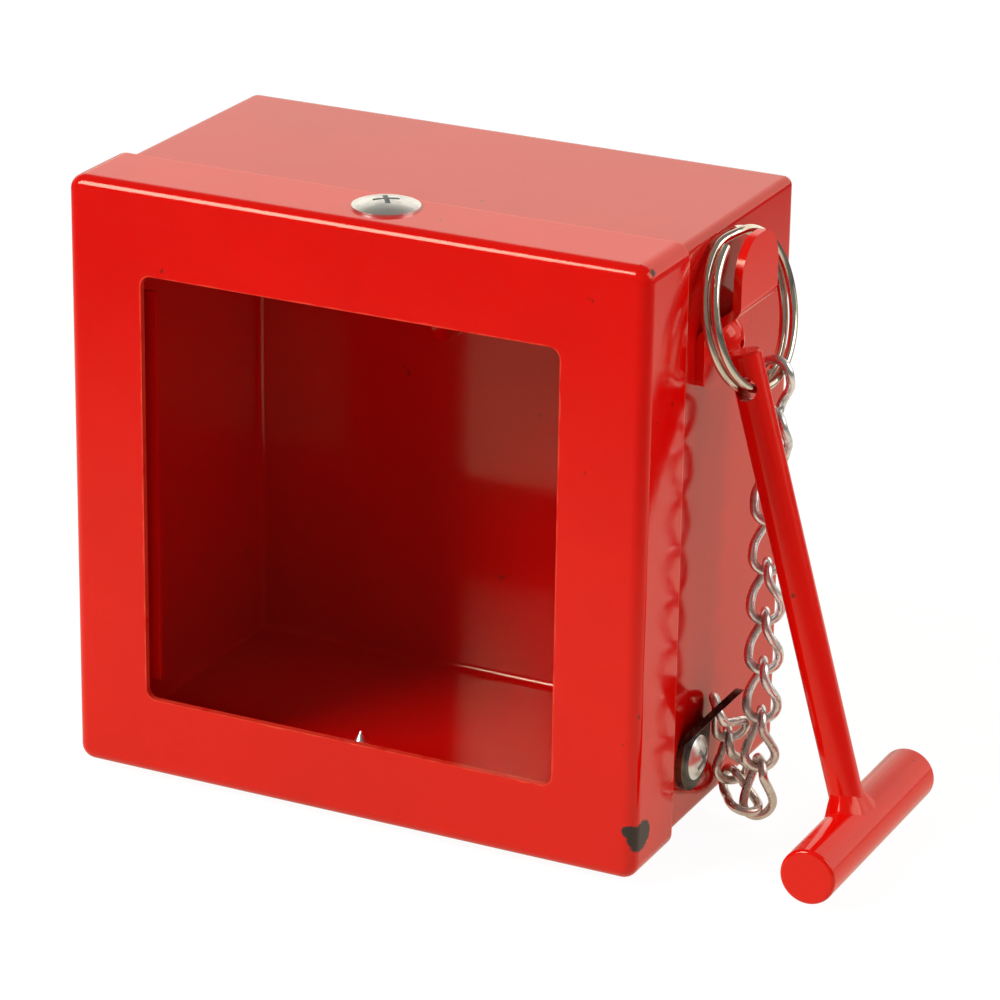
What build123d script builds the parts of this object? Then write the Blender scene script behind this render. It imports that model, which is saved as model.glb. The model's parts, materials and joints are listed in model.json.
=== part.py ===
"""Break glass key box: a painted sheet-steel box with a windowed front cover,
a glass pane in two guides, a key hook inside, and a T-shaped hammer that hangs
from a split ring on the right side, tied to the box by a twisted-link chain.

Millimetres. Origin at the centre of the back face, which goes on the wall.
+X is right seen from the front, +Y points into the wall, +Z is up, so the
front face lies at y = -box_depth.
"""
from build123d import *
import math
import os

# ---------------------------------------------------------------- box shell
box_width = 110.0            # across the front cover
box_height = 110.0
box_depth = 65.0             # front face to wall
cover_depth = 16.0           # flange of the front cover
sheet = 1.2                  # steel sheet of cover and box
cover_fit = 0.1              # gap between the cover's flange and the box, each side
cover_bend = 2.2             # outer bend between face and flange
cover_corner = 2.8           # outer corner where two flanges are welded
back_bend = 2.6              # outer bend round the back of the box
rim_gap = 0.1                # box rim to the start of the cover's inner bend

window_width = 79.7
window_height = 79.2
window_x = -0.65             # centre of the window
window_z = -0.6
window_corner = 2.0

# ---------------------------------------------------------------- glass
glass_thickness = 2.0
glass_slack = 0.1            # pane to each side of its slot
glass_side_slack = 0.5       # pane edge to the guide's riser
glass_height = 99.0
guide_sheet = 0.8
guide_riser_x = 46.0         # inner side of the riser, from the middle
guide_reach = 39.5           # free leg's edge, from the middle
guide_length = 72.7
guide_z = -1.25              # middle of the guide
guide_wall_gap = 0.3         # base leg to the box wall

# ---------------------------------------------------------------- cover screws
screw_head_diameter = 11.8
screw_head_height = 1.5
screw_rim = 0.4              # straight edge under the domed head
screw_shank_diameter = 3.9
screw_length = 12.6
screw_point = 3.4
screw_depth = 9.9            # behind the front face
screw_top_x = 1.8
screw_bottom_x = -2.6
screw_recess_width = 4.6     # cross recess, tip to tip
screw_recess_slot = 0.9
screw_recess_depth = 1.1
screw_clearance = 0.05       # radial, in the box wall
cover_hole_clearance = 0.25  # radial, in the cover

# ---------------------------------------------------------------- key hook
hook_diameter = 3.8
hook_x = -12.0
hook_below_top = 39.6        # axis of the level leg
hook_reach = 8.0             # wall face to the axis of the upright leg
hook_upright = 14.6
hook_bend = 3.0
hook_clearance = 0.05

# ---------------------------------------------------------------- wall holes
wall_hole_diameter = 5.0
wall_hole_spacing = 60.0
wall_hole_below_top = 25.0

# ---------------------------------------------------------------- ring hanger
hanger_sheet = 1.5
hanger_width = 20.4
hanger_tongue_width = 15.7
hanger_depth = 33.1          # middle of the strip, behind the front face
hanger_top_below = 2.0       # tongue's top below the box's top
hanger_height = 25.6
hanger_tongue = 11.7         # straight part of the tongue
hanger_rise = 4.5            # height of the sloping part
hanger_offset = 5.4          # tongue off the wall
hanger_tongue_corner = 7.0
hanger_foot_corner = 1.5
hanger_bend = 1.0            # inner bend

rivet_depth = 35.0
rivet_below_bend = 4.7
rivet_dome_diameter = 8.0
rivet_dome_height = 1.9
rivet_shank_diameter = 3.2
rivet_tail_diameter = 4.8
rivet_tail_length = 1.8
rivet_mandrel_diameter = 1.7
rivet_clearance = 0.05

# ---------------------------------------------------------------- chain lug
lug_sheet = 1.2
lug_foot_depth = 25.5        # middle of the round foot, behind the front face
lug_foot_rise = 13.5         # foot's middle above the box's bottom
lug_foot_radius = 6.0
lug_eye_depth = 27.8
lug_eye_radius = 4.6
lug_eye_hole = 2.75
lug_bend_rise = 4.6          # foot's middle to where the eye end leaves the wall
lug_tilt = 40.0              # eye end from the wall
lug_neck = 6.2               # bend to the middle of the eye
lug_screw_head_diameter = 8.0
lug_screw_head_height = 1.8
lug_screw_rim = 0.5
lug_screw_shank_diameter = 4.0
lug_screw_length = 9.5
lug_screw_point = 2.5

# ---------------------------------------------------------------- split ring
ring_wire = 1.5
ring_coil_gap = 0.42
ring_radius = 13.55          # to the wire's middle
ring_offset = 5.6             # ring centre off the side wall of the box
ring_depth = 32.3            # ring centre behind the front face
ring_below_top = 15.5
ring_lean = 13.5             # ring's top leans towards the box, degrees
ring_swing_round = 4.1       # ring turned about the vertical, degrees
ring_step = 30.0             # turn over which the wire steps to the second coil
ring_end_angle = 100.0       # where the wire ends lie, from the ring's rear side

# ---------------------------------------------------------------- hammer
handle_diameter = 6.0
handle_hole_diameter = 4.2
handle_above_hole = 6.8
handle_chamfer = 0.4
handle_hole_depth = 28.1     # behind the front face
head_diameter = 10.0
head_length = 47.6
head_near_depth = 6.6        # head's near end behind the front face
head_off_wall = 30.3         # head's axis from the side wall of the box
head_rise = 4.9              # head's axis above the box's bottom
head_edge = 0.7
weld_height = 2.2            # weld collar round the foot of the handle
weld_width = 1.3

# ---------------------------------------------------------------- chain
link_wire = 1.6
link_width = 7.0             # outside
link_pitch = 9.17            # one link to the next, hanging
link_play = 0.15             # between two wires that bear on each other
link_butt = 0.12             # gap between the bent wire's two ends
chain_ring_depth = 36.6      # where the first link sits on the ring
chain_end_off_wall = 9.8     # lowest wire of the hanging links
chain_end_depth = 34.2
chain_end_below_foot = 13.3  # under the middle of the lug's foot
link_yaws = (60.0, 34.0, 10.0, 0, 0, 0, 0, 0, 11.7)   # each link's own turn, top to bottom
link_bearing = -64.3         # way the upper bow spreads, from +X about +Z
# the three links from the lug to the lowest hanging link: upper wire off the wall,
# behind the front and above the lug's foot, the way the link runs (bearing and
# rise), and the upper bow's bearing
side_links = (
    ((2.82, 29.59, 9.15), (76.75, -52.0), 298.0),
    ((3.39, 34.63, 2.05), (82.8, -77.1), 117.6),
    ((1.47, 38.30, -8.26), (-40.3, -16.0), 141.9),
)


def behind_front(depth):
    """y of a plane that lies this far behind the front face."""
    return depth - box_depth


def slab(width, height, corner, y_front, y_back, x=0.0, z=0.0):
    """Upright block with rounded corners, from y_front back to y_back."""
    plane = Plane(origin=(x, y_back, z), x_dir=(1, 0, 0), z_dir=(0, -1, 0))
    return extrude(plane * RectangleRounded(width, height, corner), amount=y_back - y_front)


def rod(start, direction, length, radius):
    """Round bar from start along direction."""
    return Solid.make_cylinder(radius, length, Plane(origin=start, z_dir=direction))


def turned(profile, start, direction):
    """Solid of revolution: profile is (radius, height) points from the axis round to the axis."""
    outline = make_face(Polyline(*[(r, h) for r, h in profile], close=True))
    solid = revolve(Plane.XZ * outline, axis=Axis.Z, revolution_arc=360)
    return solid.moved(Plane(origin=start, z_dir=direction).location)


# values that follow from the ones above
body_width = box_width - 2 * (sheet + cover_fit)
body_height = box_height - 2 * (sheet + cover_fit)
side_x = body_width / 2                     # outer face of the box's right wall
inner_x = side_x - sheet
floor_z = -body_height / 2 + sheet          # inner face of the box's bottom
body_corner = cover_corner - sheet - cover_fit + 0.1
cover_inner_bend = cover_bend - sheet
rim_y = behind_front(sheet + cover_inner_bend + rim_gap)
cover_end_y = behind_front(cover_depth)
guide_free_y = behind_front(sheet + glass_thickness + 2 * glass_slack)
top_z = box_height / 2
wall_hole_z = top_z - wall_hole_below_top
hook_z = top_z - hook_below_top
hanger_top_z = top_z - hanger_top_below
hanger_bottom_z = hanger_top_z - hanger_height
hanger_bend_z = hanger_top_z - hanger_tongue - hanger_rise      # where the strip leaves the wall
rivet_z = hanger_bend_z - rivet_below_bend
lug_foot_z = -top_z + lug_foot_rise
lug_bend_z = lug_foot_z + lug_bend_rise
ring_z = top_z - ring_below_top
head_x = side_x + head_off_wall
head_z = -top_z + head_rise


def back_box():
    """Open box of the body: four walls and a back, folded from one sheet."""
    shell = slab(body_width, body_height, body_corner, rim_y, 0)
    shell = fillet(shell.edges().group_by(Axis.Y)[-1], back_bend)
    hollow = slab(body_width - 2 * sheet, body_height - 2 * sheet, body_corner - sheet / 2, rim_y - 1, -sheet)
    hollow = fillet(hollow.edges().group_by(Axis.Y)[-1], back_bend - sheet)
    shell = shell - hollow
    half = body_height / 2
    for x, up in ((screw_top_x, 1), (screw_bottom_x, -1)):
        hole = screw_shank_diameter / 2 + screw_clearance
        shell -= rod((x, behind_front(screw_depth), up * (half + 1)), (0, 0, -up), sheet + 2, hole)
    for x in (-wall_hole_spacing / 2, wall_hole_spacing / 2):
        shell -= rod((x, 1, wall_hole_z), (0, -1, 0), sheet + 2, wall_hole_diameter / 2)
    shell -= rod((hook_x, 1, hook_z), (0, -1, 0), sheet + 2, hook_diameter / 2 + hook_clearance)
    rivet_at = (side_x + 1, behind_front(rivet_depth), rivet_z)
    shell -= rod(rivet_at, (-1, 0, 0), sheet + 2, rivet_shank_diameter / 2 + rivet_clearance)
    lug_at = (side_x + 1, behind_front(lug_foot_depth), lug_foot_z)
    shell -= rod(lug_at, (-1, 0, 0), sheet + 2, lug_screw_shank_diameter / 2 + screw_clearance)
    return shell


def front_cover():
    """Shallow lid with a window, that slips over the front of the box."""
    lid = slab(box_width, box_height, cover_corner, -box_depth, cover_end_y)
    lid = fillet(lid.edges().group_by(Axis.Y)[0], cover_bend)
    inner_corner = cover_corner - sheet
    hollow = slab(box_width - 2 * sheet, box_height - 2 * sheet, inner_corner, behind_front(sheet), cover_end_y + 1)
    hollow = fillet(hollow.edges().group_by(Axis.Y)[0], cover_inner_bend)
    lid = lid - hollow
    window = slab(window_width, window_height, window_corner, -box_depth - 1, behind_front(sheet + 1), window_x, window_z)
    lid = lid - window
    for x, up in ((screw_top_x, 1), (screw_bottom_x, -1)):
        hole = screw_shank_diameter / 2 + cover_hole_clearance
        lid -= rod((x, behind_front(screw_depth), up * (box_height / 2 + 1)), (0, 0, -up), sheet + 2, hole)
    return lid


def glass_guide(side):
    """Z-shaped strip welded behind the cover: the pane slides between it and the cover."""
    y_base = behind_front(sheet)
    outer = inner_x - guide_wall_gap
    riser = guide_riser_x
    outline = [
        (outer, y_base), (riser, y_base), (riser, guide_free_y), (guide_reach, guide_free_y),
        (guide_reach, guide_free_y + guide_sheet), (riser + guide_sheet, guide_free_y + guide_sheet),
        (riser + guide_sheet, y_base + guide_sheet), (outer, y_base + guide_sheet),
    ]
    face = make_face(Polyline(*[(side * x, y) for x, y in outline], close=True))
    strip = extrude(face, amount=guide_length, dir=(0, 0, 1))
    return Pos(0, 0, guide_z - guide_length / 2) * strip


def glass_pane():
    """Pane to be broken: stands on the floor of the box, held by the guides."""
    width = 2 * (guide_riser_x - glass_side_slack)
    y_middle = behind_front(sheet + glass_slack + glass_thickness / 2)
    return Pos(0, y_middle, floor_z + glass_height / 2) * Box(width, glass_thickness, glass_height)


def dome_screw(head_diameter, head_height, rim, shank_diameter, length, point):
    """Sheet-metal screw, head up, with the head's underside at z = 0."""
    head_r = head_diameter / 2
    shank_r = shank_diameter / 2
    dome = head_height - rim
    sphere_r = (head_r ** 2 + dome ** 2) / (2 * dome)
    middle_r = head_r / 2
    middle_z = head_height - sphere_r + math.sqrt(sphere_r ** 2 - middle_r ** 2)
    lines = [
        Line((0, -length), (shank_r, point - length)),
        Line((shank_r, point - length), (shank_r, 0)),
        Line((shank_r, 0), (head_r, 0)),
        Line((head_r, 0), (head_r, rim)),
        ThreePointArc((head_r, rim), (middle_r, middle_z), (0, head_height)),
        Line((0, head_height), (0, -length)),
    ]
    screw = revolve(Plane.XZ * make_face(lines), axis=Axis.Z, revolution_arc=360)
    bar = Box(screw_recess_width, screw_recess_slot, 2 * screw_recess_depth)
    cross = bar + Rot(0, 0, 90) * bar
    return screw - Pos(0, 0, head_height) * Rot(0, 0, 35) * cross


def cover_screw(x, up):
    """Screw through the cover's flange into the box, from above or below."""
    screw = dome_screw(screw_head_diameter, screw_head_height, screw_rim, screw_shank_diameter, screw_length, screw_point)
    place = Plane(origin=(x, behind_front(screw_depth), up * box_height / 2), z_dir=(0, 0, up))
    return screw.moved(place.location)


def key_hook():
    """Bent rod that the key hangs on, set into the back."""
    path = FilletPolyline(
        (hook_x, 0, hook_z), (hook_x, -hook_reach, hook_z), (hook_x, -hook_reach, hook_z + hook_upright),
        radius=hook_bend,
    )
    return sweep(Plane(origin=(hook_x, 0, hook_z), z_dir=(0, -1, 0)) * Circle(hook_diameter / 2), path=path)


def bent_strip(inner_line, thickness, y_front, y_back):
    """Flat strip bent about the Y axis: inner_line holds its (x, z) corners on the wall side."""
    outer_line = [(inner_line[0][0] + thickness, inner_line[0][1])]
    for before, here, after in zip(inner_line, inner_line[1:], inner_line[2:]):
        first = math.atan2(here[1] - before[1], here[0] - before[0])
        second = math.atan2(after[1] - here[1], after[0] - here[0])
        half_turn = (second - first) / 2
        normal = (first + second) / 2 - math.pi / 2
        reach = thickness / math.cos(half_turn)
        outer_line.append((here[0] + reach * math.cos(normal), here[1] + reach * math.sin(normal)))
    before, last = inner_line[-2], inner_line[-1]
    normal = math.atan2(last[1] - before[1], last[0] - before[0]) - math.pi / 2
    outer_line.append((last[0] + thickness * math.cos(normal), last[1] + thickness * math.sin(normal)))
    plane = Plane(origin=(0, y_back, 0), x_dir=(1, 0, 0), z_dir=(0, -1, 0))
    outline = make_face(Polyline(*inner_line, *reversed(outer_line), close=True))
    return extrude(plane * outline, amount=y_back - y_front), outer_line


def edges_at(solid, points, tolerance=0.01):
    """Edges parallel to Y that stand on the given (x, z) points."""
    chosen = []
    for edge in solid.edges().filter_by(Axis.Y):
        middle = edge.center()
        if any(math.hypot(middle.X - x, middle.Z - z) < tolerance for x, z in points):
            chosen.append(edge)
    return chosen


def ring_hanger():
    """Strip riveted to the right wall: its joggled tongue holds the split ring."""
    line = [
        (side_x, hanger_bottom_z), (side_x, hanger_bend_z),
        (side_x + hanger_offset, hanger_bend_z + hanger_rise), (side_x + hanger_offset, hanger_top_z),
    ]
    y_front = behind_front(hanger_depth - hanger_width / 2)
    y_back = behind_front(hanger_depth + hanger_width / 2)
    strip, outer = bent_strip(line, hanger_sheet, y_front, y_back)
    strip = fillet(edges_at(strip, [line[1], outer[2]]), hanger_bend + hanger_sheet)
    strip = fillet(edges_at(strip, [line[2], outer[1]]), hanger_bend)
    half = hanger_width / 2
    tongue_half = hanger_tongue_width / 2
    shoulder_z = hanger_bend_z + hanger_rise
    plane = Plane(origin=(side_x - 1, behind_front(hanger_depth), 0), x_dir=(0, 1, 0), z_dir=(1, 0, 0))
    outline = make_face(Polyline(
        (-half, hanger_bottom_z), (half, hanger_bottom_z), (half, hanger_bend_z), (tongue_half, shoulder_z),
        (tongue_half, hanger_top_z), (-tongue_half, hanger_top_z), (-tongue_half, shoulder_z), (-half, hanger_bend_z),
        close=True,
    ))
    by_height = outline.vertices().group_by(Axis.Y)
    outline = fillet(by_height[0], hanger_foot_corner)
    outline = fillet(outline.vertices().group_by(Axis.Y)[-1], hanger_tongue_corner)
    strip = strip & extrude(plane * outline, amount=hanger_offset + hanger_sheet + 2)
    hole = rod((side_x - 1, behind_front(rivet_depth), rivet_z), (1, 0, 0), hanger_sheet + 2, rivet_shank_diameter / 2 + rivet_clearance)
    return strip - hole


def hanger_rivet():
    """Blind rivet: domed head outside, upset tail inside the box."""
    dome_r = rivet_dome_diameter / 2
    shank_r = rivet_shank_diameter / 2
    tail_r = rivet_tail_diameter / 2
    grip = hanger_sheet + sheet
    sphere_r = (dome_r ** 2 + rivet_dome_height ** 2) / (2 * rivet_dome_height)
    middle_r = dome_r * 0.6
    middle_h = rivet_dome_height - sphere_r + math.sqrt(sphere_r ** 2 - middle_r ** 2)
    lines = [
        Line((0, -grip - rivet_tail_length), (tail_r * 0.7, -grip - rivet_tail_length)),
        Line((tail_r * 0.7, -grip - rivet_tail_length), (tail_r, -grip - rivet_tail_length / 2)),
        Line((tail_r, -grip - rivet_tail_length / 2), (shank_r, -grip)),
        Line((shank_r, -grip), (shank_r, 0)),
        Line((shank_r, 0), (dome_r, 0)),
        ThreePointArc((dome_r, 0), (middle_r, middle_h), (0, rivet_dome_height)),
        Line((0, rivet_dome_height), (0, -grip - rivet_tail_length)),
    ]
    rivet = revolve(Plane.XZ * make_face(lines), axis=Axis.Z, revolution_arc=360)
    rivet -= Pos(0, 0, rivet_dome_height) * Cylinder(rivet_mandrel_diameter / 2, 2 * rivet_dome_height)
    place = Plane(origin=(side_x + hanger_sheet, behind_front(rivet_depth), rivet_z), z_dir=(1, 0, 0))
    return rivet.moved(place.location)


def lug_eye_place():
    """Plane of the lug's eye: origin at the eye's middle on its wall side, z outwards."""
    tilt = math.radians(lug_tilt)
    origin = (side_x + lug_neck * math.sin(tilt), behind_front(lug_eye_depth), lug_bend_z + lug_neck * math.cos(tilt))
    return Plane(origin=origin, x_dir=(0, 1, 0), z_dir=(math.cos(tilt), 0, -math.sin(tilt)))


def chain_lug():
    """Plate screwed to the side: round foot on the wall, eye end bent outwards for the chain."""
    eye = lug_eye_place()
    tilt = math.radians(lug_tilt)
    reach = lug_neck + lug_eye_radius + 1
    line = [
        (side_x, lug_foot_z - lug_foot_radius - 1), (side_x, lug_bend_z),
        (side_x + reach * math.sin(tilt), lug_bend_z + reach * math.cos(tilt)),
    ]
    wide = 2 * lug_foot_radius
    y_middle = behind_front(lug_foot_depth)
    strip, outer = bent_strip(line, lug_sheet, y_middle - wide, y_middle + wide)
    strip = fillet(edges_at(strip, [line[1]]), lug_sheet + 0.8)
    strip = fillet(edges_at(strip, [outer[1]]), 0.8)
    plane = Plane(origin=(side_x - 1, 0, 0), x_dir=(0, 1, 0), z_dir=(1, 0, 0))
    foot = Pos(y_middle, lug_foot_z) * Circle(lug_foot_radius)
    top = Pos(eye.origin.Y, eye.origin.Z) * Ellipse(lug_eye_radius, lug_eye_radius * math.cos(tilt))
    outline = make_hull(foot.edges() + top.edges())
    plate = strip & extrude(plane * outline, amount=reach + 2)
    plate -= rod(eye.origin - eye.z_dir * 2, eye.z_dir, lug_sheet + 4, lug_eye_hole)
    plate -= rod((side_x - 1, y_middle, lug_foot_z), (1, 0, 0), lug_sheet + 2, lug_screw_shank_diameter / 2 + screw_clearance)
    return plate


def lug_screw():
    """Pan-head screw that holds the lug."""
    screw = dome_screw(
        lug_screw_head_diameter, lug_screw_head_height, lug_screw_rim,
        lug_screw_shank_diameter, lug_screw_length, lug_screw_point,
    )
    place = Plane(origin=(side_x + lug_sheet, behind_front(lug_foot_depth), lug_foot_z), z_dir=(1, 0, 0))
    return screw.moved(place.location)


def biarc(start, start_way, end, end_way):
    """Two arcs that leave start along start_way and reach end along end_way."""
    span = end - start
    ways = start_way + end_way
    spread = 4 - ways.dot(ways)
    if spread < 1e-9:
        reach = span.dot(span) / (2 * span.dot(ways))
    else:
        along = span.dot(ways)
        reach = (math.sqrt(along ** 2 + spread * span.dot(span)) - along) / spread
    near = start + start_way * reach
    far = end - end_way * reach
    joint = (near + far) * 0.5
    return [TangentArc(start, joint, tangent=start_way), TangentArc(joint, end, tangent=far - near)]


def swept_wire(edges, radius):
    """Round wire along a smooth chain of arcs."""
    path = Wire(edges)
    return sweep(Plane(origin=path @ 0, z_dir=path % 0) * Circle(radius), path=path)


# the ring's own plane: x along its rear side, y up its face, z away from the box
ring_turn = math.radians(ring_swing_round)
ring_tilt = math.radians(ring_lean)
ring_rear = Vector(math.sin(ring_turn), math.cos(ring_turn), 0)
ring_normal = Vector(
    math.cos(ring_turn) * math.cos(ring_tilt), -math.sin(ring_turn) * math.cos(ring_tilt), math.sin(ring_tilt)
)
ring_center = Vector(side_x + ring_offset, behind_front(ring_depth), ring_z)
ring_plane = Plane(origin=ring_center, x_dir=ring_rear, z_dir=ring_normal)
ring_pitch = ring_wire + ring_coil_gap


def ring_point_at_depth(depth):
    """Point low on the ring's middle circle, this far behind the front face."""
    across = (behind_front(depth) - ring_center.Y) / ring_rear.Y
    down = -math.sqrt(ring_radius ** 2 - across ** 2)
    across = (behind_front(depth) - ring_center.Y - ring_plane.y_dir.Y * down) / ring_rear.Y
    down = -math.sqrt(ring_radius ** 2 - across ** 2)
    return ring_center + ring_rear * across + ring_plane.y_dir * down


def split_ring():
    """Key ring of one wire in two turns, that steps over between its two ends."""

    def point(angle, height):
        turn = math.radians(angle)
        return Vector(ring_radius * math.cos(turn), ring_radius * math.sin(turn), height)

    def way(angle):
        turn = math.radians(angle)
        return Vector(-math.sin(turn), math.cos(turn), 0)

    quarter = (360 - ring_step) / 4
    edges = []
    angle = ring_end_angle + ring_step / 2
    for height in (ring_pitch / 2, -ring_pitch / 2):
        for _ in range(4):
            middle = point(angle + quarter / 2, height)
            edges.append(ThreePointArc(point(angle, height), middle, point(angle + quarter, height)))
            angle += quarter
        if height > 0:
            after = angle + ring_step
            edges += biarc(point(angle, height), way(angle), point(after, -height), way(after))
            angle = after
    return swept_wire(edges, ring_wire / 2).moved(ring_plane.location)


# ---------------------------------------------------------------- hammer
hole_center = ring_point_at_depth(handle_hole_depth)
head_middle = Vector(head_x, hole_center.Y, head_z)
handle_way = (head_middle - hole_center).normalized()      # down the handle
handle_length = handle_above_hole + (head_middle - hole_center).length


def hammer_head():
    """Round bar, the striking head, across the foot of the handle."""
    start = (head_x, behind_front(head_near_depth), head_z)
    bar = rod(start, (0, 1, 0), head_length, head_diameter / 2)
    return fillet(bar.edges().filter_by(GeomType.CIRCLE), head_edge)


def hammer_handle():
    """Round rod with a cross hole for the ring, coped and welded to the head."""
    start = hole_center - handle_way * handle_above_hole
    bar = rod(start, handle_way, handle_length, handle_diameter / 2)
    top = bar.edges().filter_by(GeomType.CIRCLE).sort_by(Axis.Z)[-1]
    bar = chamfer(top, handle_chamfer)
    across = ring_plane.z_dir.cross((hole_center - ring_center).normalized())
    bar -= rod(hole_center - across * handle_diameter, across, 2 * handle_diameter, handle_hole_diameter / 2)
    return bar - rod((head_x, behind_front(0), head_z), (0, 1, 0), box_depth, head_diameter / 2)


def hammer_weld():
    """Bead of weld in the corner between handle and head."""
    foot_r = handle_diameter / 2
    seat = handle_length - math.sqrt((head_diameter / 2) ** 2 - foot_r ** 2)
    start = hole_center + handle_way * (seat - handle_above_hole - weld_height)
    profile = [(foot_r, 0), (foot_r + weld_width, weld_height), (foot_r + weld_width, 2 * weld_height), (foot_r, 2 * weld_height)]
    collar = turned(profile, start, handle_way)
    return collar - rod((head_x, behind_front(0), head_z), (0, 1, 0), box_depth, head_diameter / 2)


# ---------------------------------------------------------------- chain
bow_radius = (link_width - link_wire) / 2
link_reach = link_pitch + link_wire + link_play     # between the wire's middles, end to end


def twisted_link():
    """One link: a wire oval whose lower bow is turned a quarter from its upper bow."""
    half = link_reach / 2 - bow_radius
    up = Vector(0, 0, 1)
    down = Vector(0, 0, -1)
    top = Vector(0, 0, half + bow_radius)
    bottom = Vector(0, 0, -half - bow_radius)
    top_x = Vector(bow_radius, 0, half)
    top_back = Vector(-bow_radius, 0, half)
    low_y = Vector(0, bow_radius, -half)
    low_back = Vector(0, -bow_radius, -half)
    first_side = biarc(top_x, down, low_y, down)
    other_side = biarc(low_back, up, top_back, up)
    edges = [first_side[1]]
    edges += [TangentArc(low_y, bottom, tangent=down), TangentArc(bottom, low_back, tangent=Vector(0, -1, 0))]
    edges += other_side
    edges += [TangentArc(top_back, top, tangent=up), TangentArc(top, top_x, tangent=Vector(1, 0, 0))]
    last = first_side[0]
    edges.append(last.trim(0, 1 - link_butt / last.length))
    return swept_wire(edges, link_wire / 2)


def link_place(top, way, bearing):
    """Plane of a link whose upper bow's wire is at top and which hangs along way."""
    spread = Vector(math.cos(math.radians(bearing)), math.sin(math.radians(bearing)), 0)
    spread = (spread - way * spread.dot(way)).normalized()
    return Plane(origin=top + way * (link_reach / 2), x_dir=spread, z_dir=way * -1)


def hanging_places():
    """Places of the links that hang from the ring, top to bottom."""
    seat = ring_point_at_depth(chain_ring_depth)
    low = Vector(side_x + chain_end_off_wall, behind_front(chain_end_depth), lug_foot_z - chain_end_below_foot)
    way = (low - seat).normalized()
    places = []
    for k, yaw in enumerate(link_yaws):
        top = seat - way * (bow_radius - link_play / 2) + way * (k * link_pitch)
        places.append(link_place(top, way, link_bearing + yaw))
    return places


def side_places():
    """Places of the links that run from the lug to the lowest hanging link."""
    places = []
    for (off_wall, depth, above_foot), (bearing, rise), bow_bearing in side_links:
        level = math.cos(math.radians(rise))
        way = Vector(
            level * math.cos(math.radians(bearing)),
            level * math.sin(math.radians(bearing)),
            math.sin(math.radians(rise)),
        )
        top = Vector(side_x + off_wall, behind_front(depth), lug_foot_z + above_foot)
        places.append(link_place(top, way, bow_bearing))
    return places


def ring_self_gap():
    """Least gap between the ring's two turns, from points along the wire's middle."""
    half_turn = math.radians(180)
    turns = 2 * (360 - ring_step) + ring_step
    count = 1080
    points = []
    for k in range(count + 1):
        angle = turns * k / count
        flat = 360 - ring_step
        if angle < flat:
            height = ring_pitch / 2
        elif angle > 360:
            height = -ring_pitch / 2
        else:
            height = ring_pitch / 2 * math.cos(half_turn * (angle - flat) / ring_step)
        turn = math.radians(angle)
        points.append((ring_radius * math.cos(turn), ring_radius * math.sin(turn), height))
    apart = int(count * 90 / turns)
    least = min(
        math.dist(points[i], points[j])
        for i in range(count + 1) for j in range(i + apart, count + 1)
    )
    return least - ring_wire


nodes = {
    "back_box": back_box(),
    "front_cover": front_cover(),
    "glass_pane": glass_pane(),
    "glass_guide_left": glass_guide(-1),
    "glass_guide_right": glass_guide(1),
    "cover_screw_top": cover_screw(screw_top_x, 1),
    "cover_screw_bottom": cover_screw(screw_bottom_x, -1),
    "key_hook": key_hook(),
    "ring_hanger": ring_hanger(),
    "hanger_rivet": hanger_rivet(),
    "chain_lug": chain_lug(),
    "lug_screw": lug_screw(),
    "split_ring": split_ring(),
    "hammer_handle": hammer_handle(),
    "hammer_head": hammer_head(),
    "hammer_weld": hammer_weld(),
}
link = twisted_link()
chain_places = hanging_places() + list(reversed(side_places()))
for number, place in enumerate(chain_places, start=1):
    nodes[f"chain_link_{number:02d}"] = link.moved(place.location)

print("split ring, least gap to itself, mm:", round(ring_self_gap(), 3))
os.makedirs("parts", exist_ok=True)
for name, solid in nodes.items():
    export_step(solid, f"parts/{name}.step")
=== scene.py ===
# %% [markdown]
# A break glass key box
# A painted steel box keeps a key behind a pane of glass, and a small T-shaped
# hammer hangs at its side from a split ring and a twisted chain. The steel, the
# chain and the ring were measured and modelled as solids. This notebook gives
# them their finish: paint, zinc, nickel, blackened steel and glass, the bead of
# weld on the hammer, the lamps and the camera.

import json
import math

import bpy
import numpy as np
from mathutils import Matrix, Vector


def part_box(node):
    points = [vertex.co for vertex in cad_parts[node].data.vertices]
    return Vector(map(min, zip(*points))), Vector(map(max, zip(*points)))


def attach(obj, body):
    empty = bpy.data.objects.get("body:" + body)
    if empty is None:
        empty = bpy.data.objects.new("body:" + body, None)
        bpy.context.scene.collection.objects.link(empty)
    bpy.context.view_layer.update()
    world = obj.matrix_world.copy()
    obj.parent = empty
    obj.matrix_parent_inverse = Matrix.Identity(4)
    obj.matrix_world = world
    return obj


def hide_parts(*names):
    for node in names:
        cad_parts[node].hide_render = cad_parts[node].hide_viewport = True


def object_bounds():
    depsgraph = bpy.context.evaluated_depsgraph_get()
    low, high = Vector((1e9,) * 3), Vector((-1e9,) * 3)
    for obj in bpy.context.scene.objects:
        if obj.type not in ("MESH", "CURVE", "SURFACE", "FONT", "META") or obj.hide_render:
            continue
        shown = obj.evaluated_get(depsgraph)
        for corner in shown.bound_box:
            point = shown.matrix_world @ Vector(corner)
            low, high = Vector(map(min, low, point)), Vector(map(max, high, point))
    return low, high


MM = 0.001
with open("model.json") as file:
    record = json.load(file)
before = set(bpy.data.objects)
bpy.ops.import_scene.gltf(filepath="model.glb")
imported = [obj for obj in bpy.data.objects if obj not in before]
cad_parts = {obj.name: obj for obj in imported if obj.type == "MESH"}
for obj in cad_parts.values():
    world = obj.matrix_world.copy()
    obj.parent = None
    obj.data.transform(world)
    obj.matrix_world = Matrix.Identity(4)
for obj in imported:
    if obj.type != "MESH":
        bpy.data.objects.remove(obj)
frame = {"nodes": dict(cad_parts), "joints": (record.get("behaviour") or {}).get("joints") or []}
nodes = frame["nodes"]
solid_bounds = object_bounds()


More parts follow.
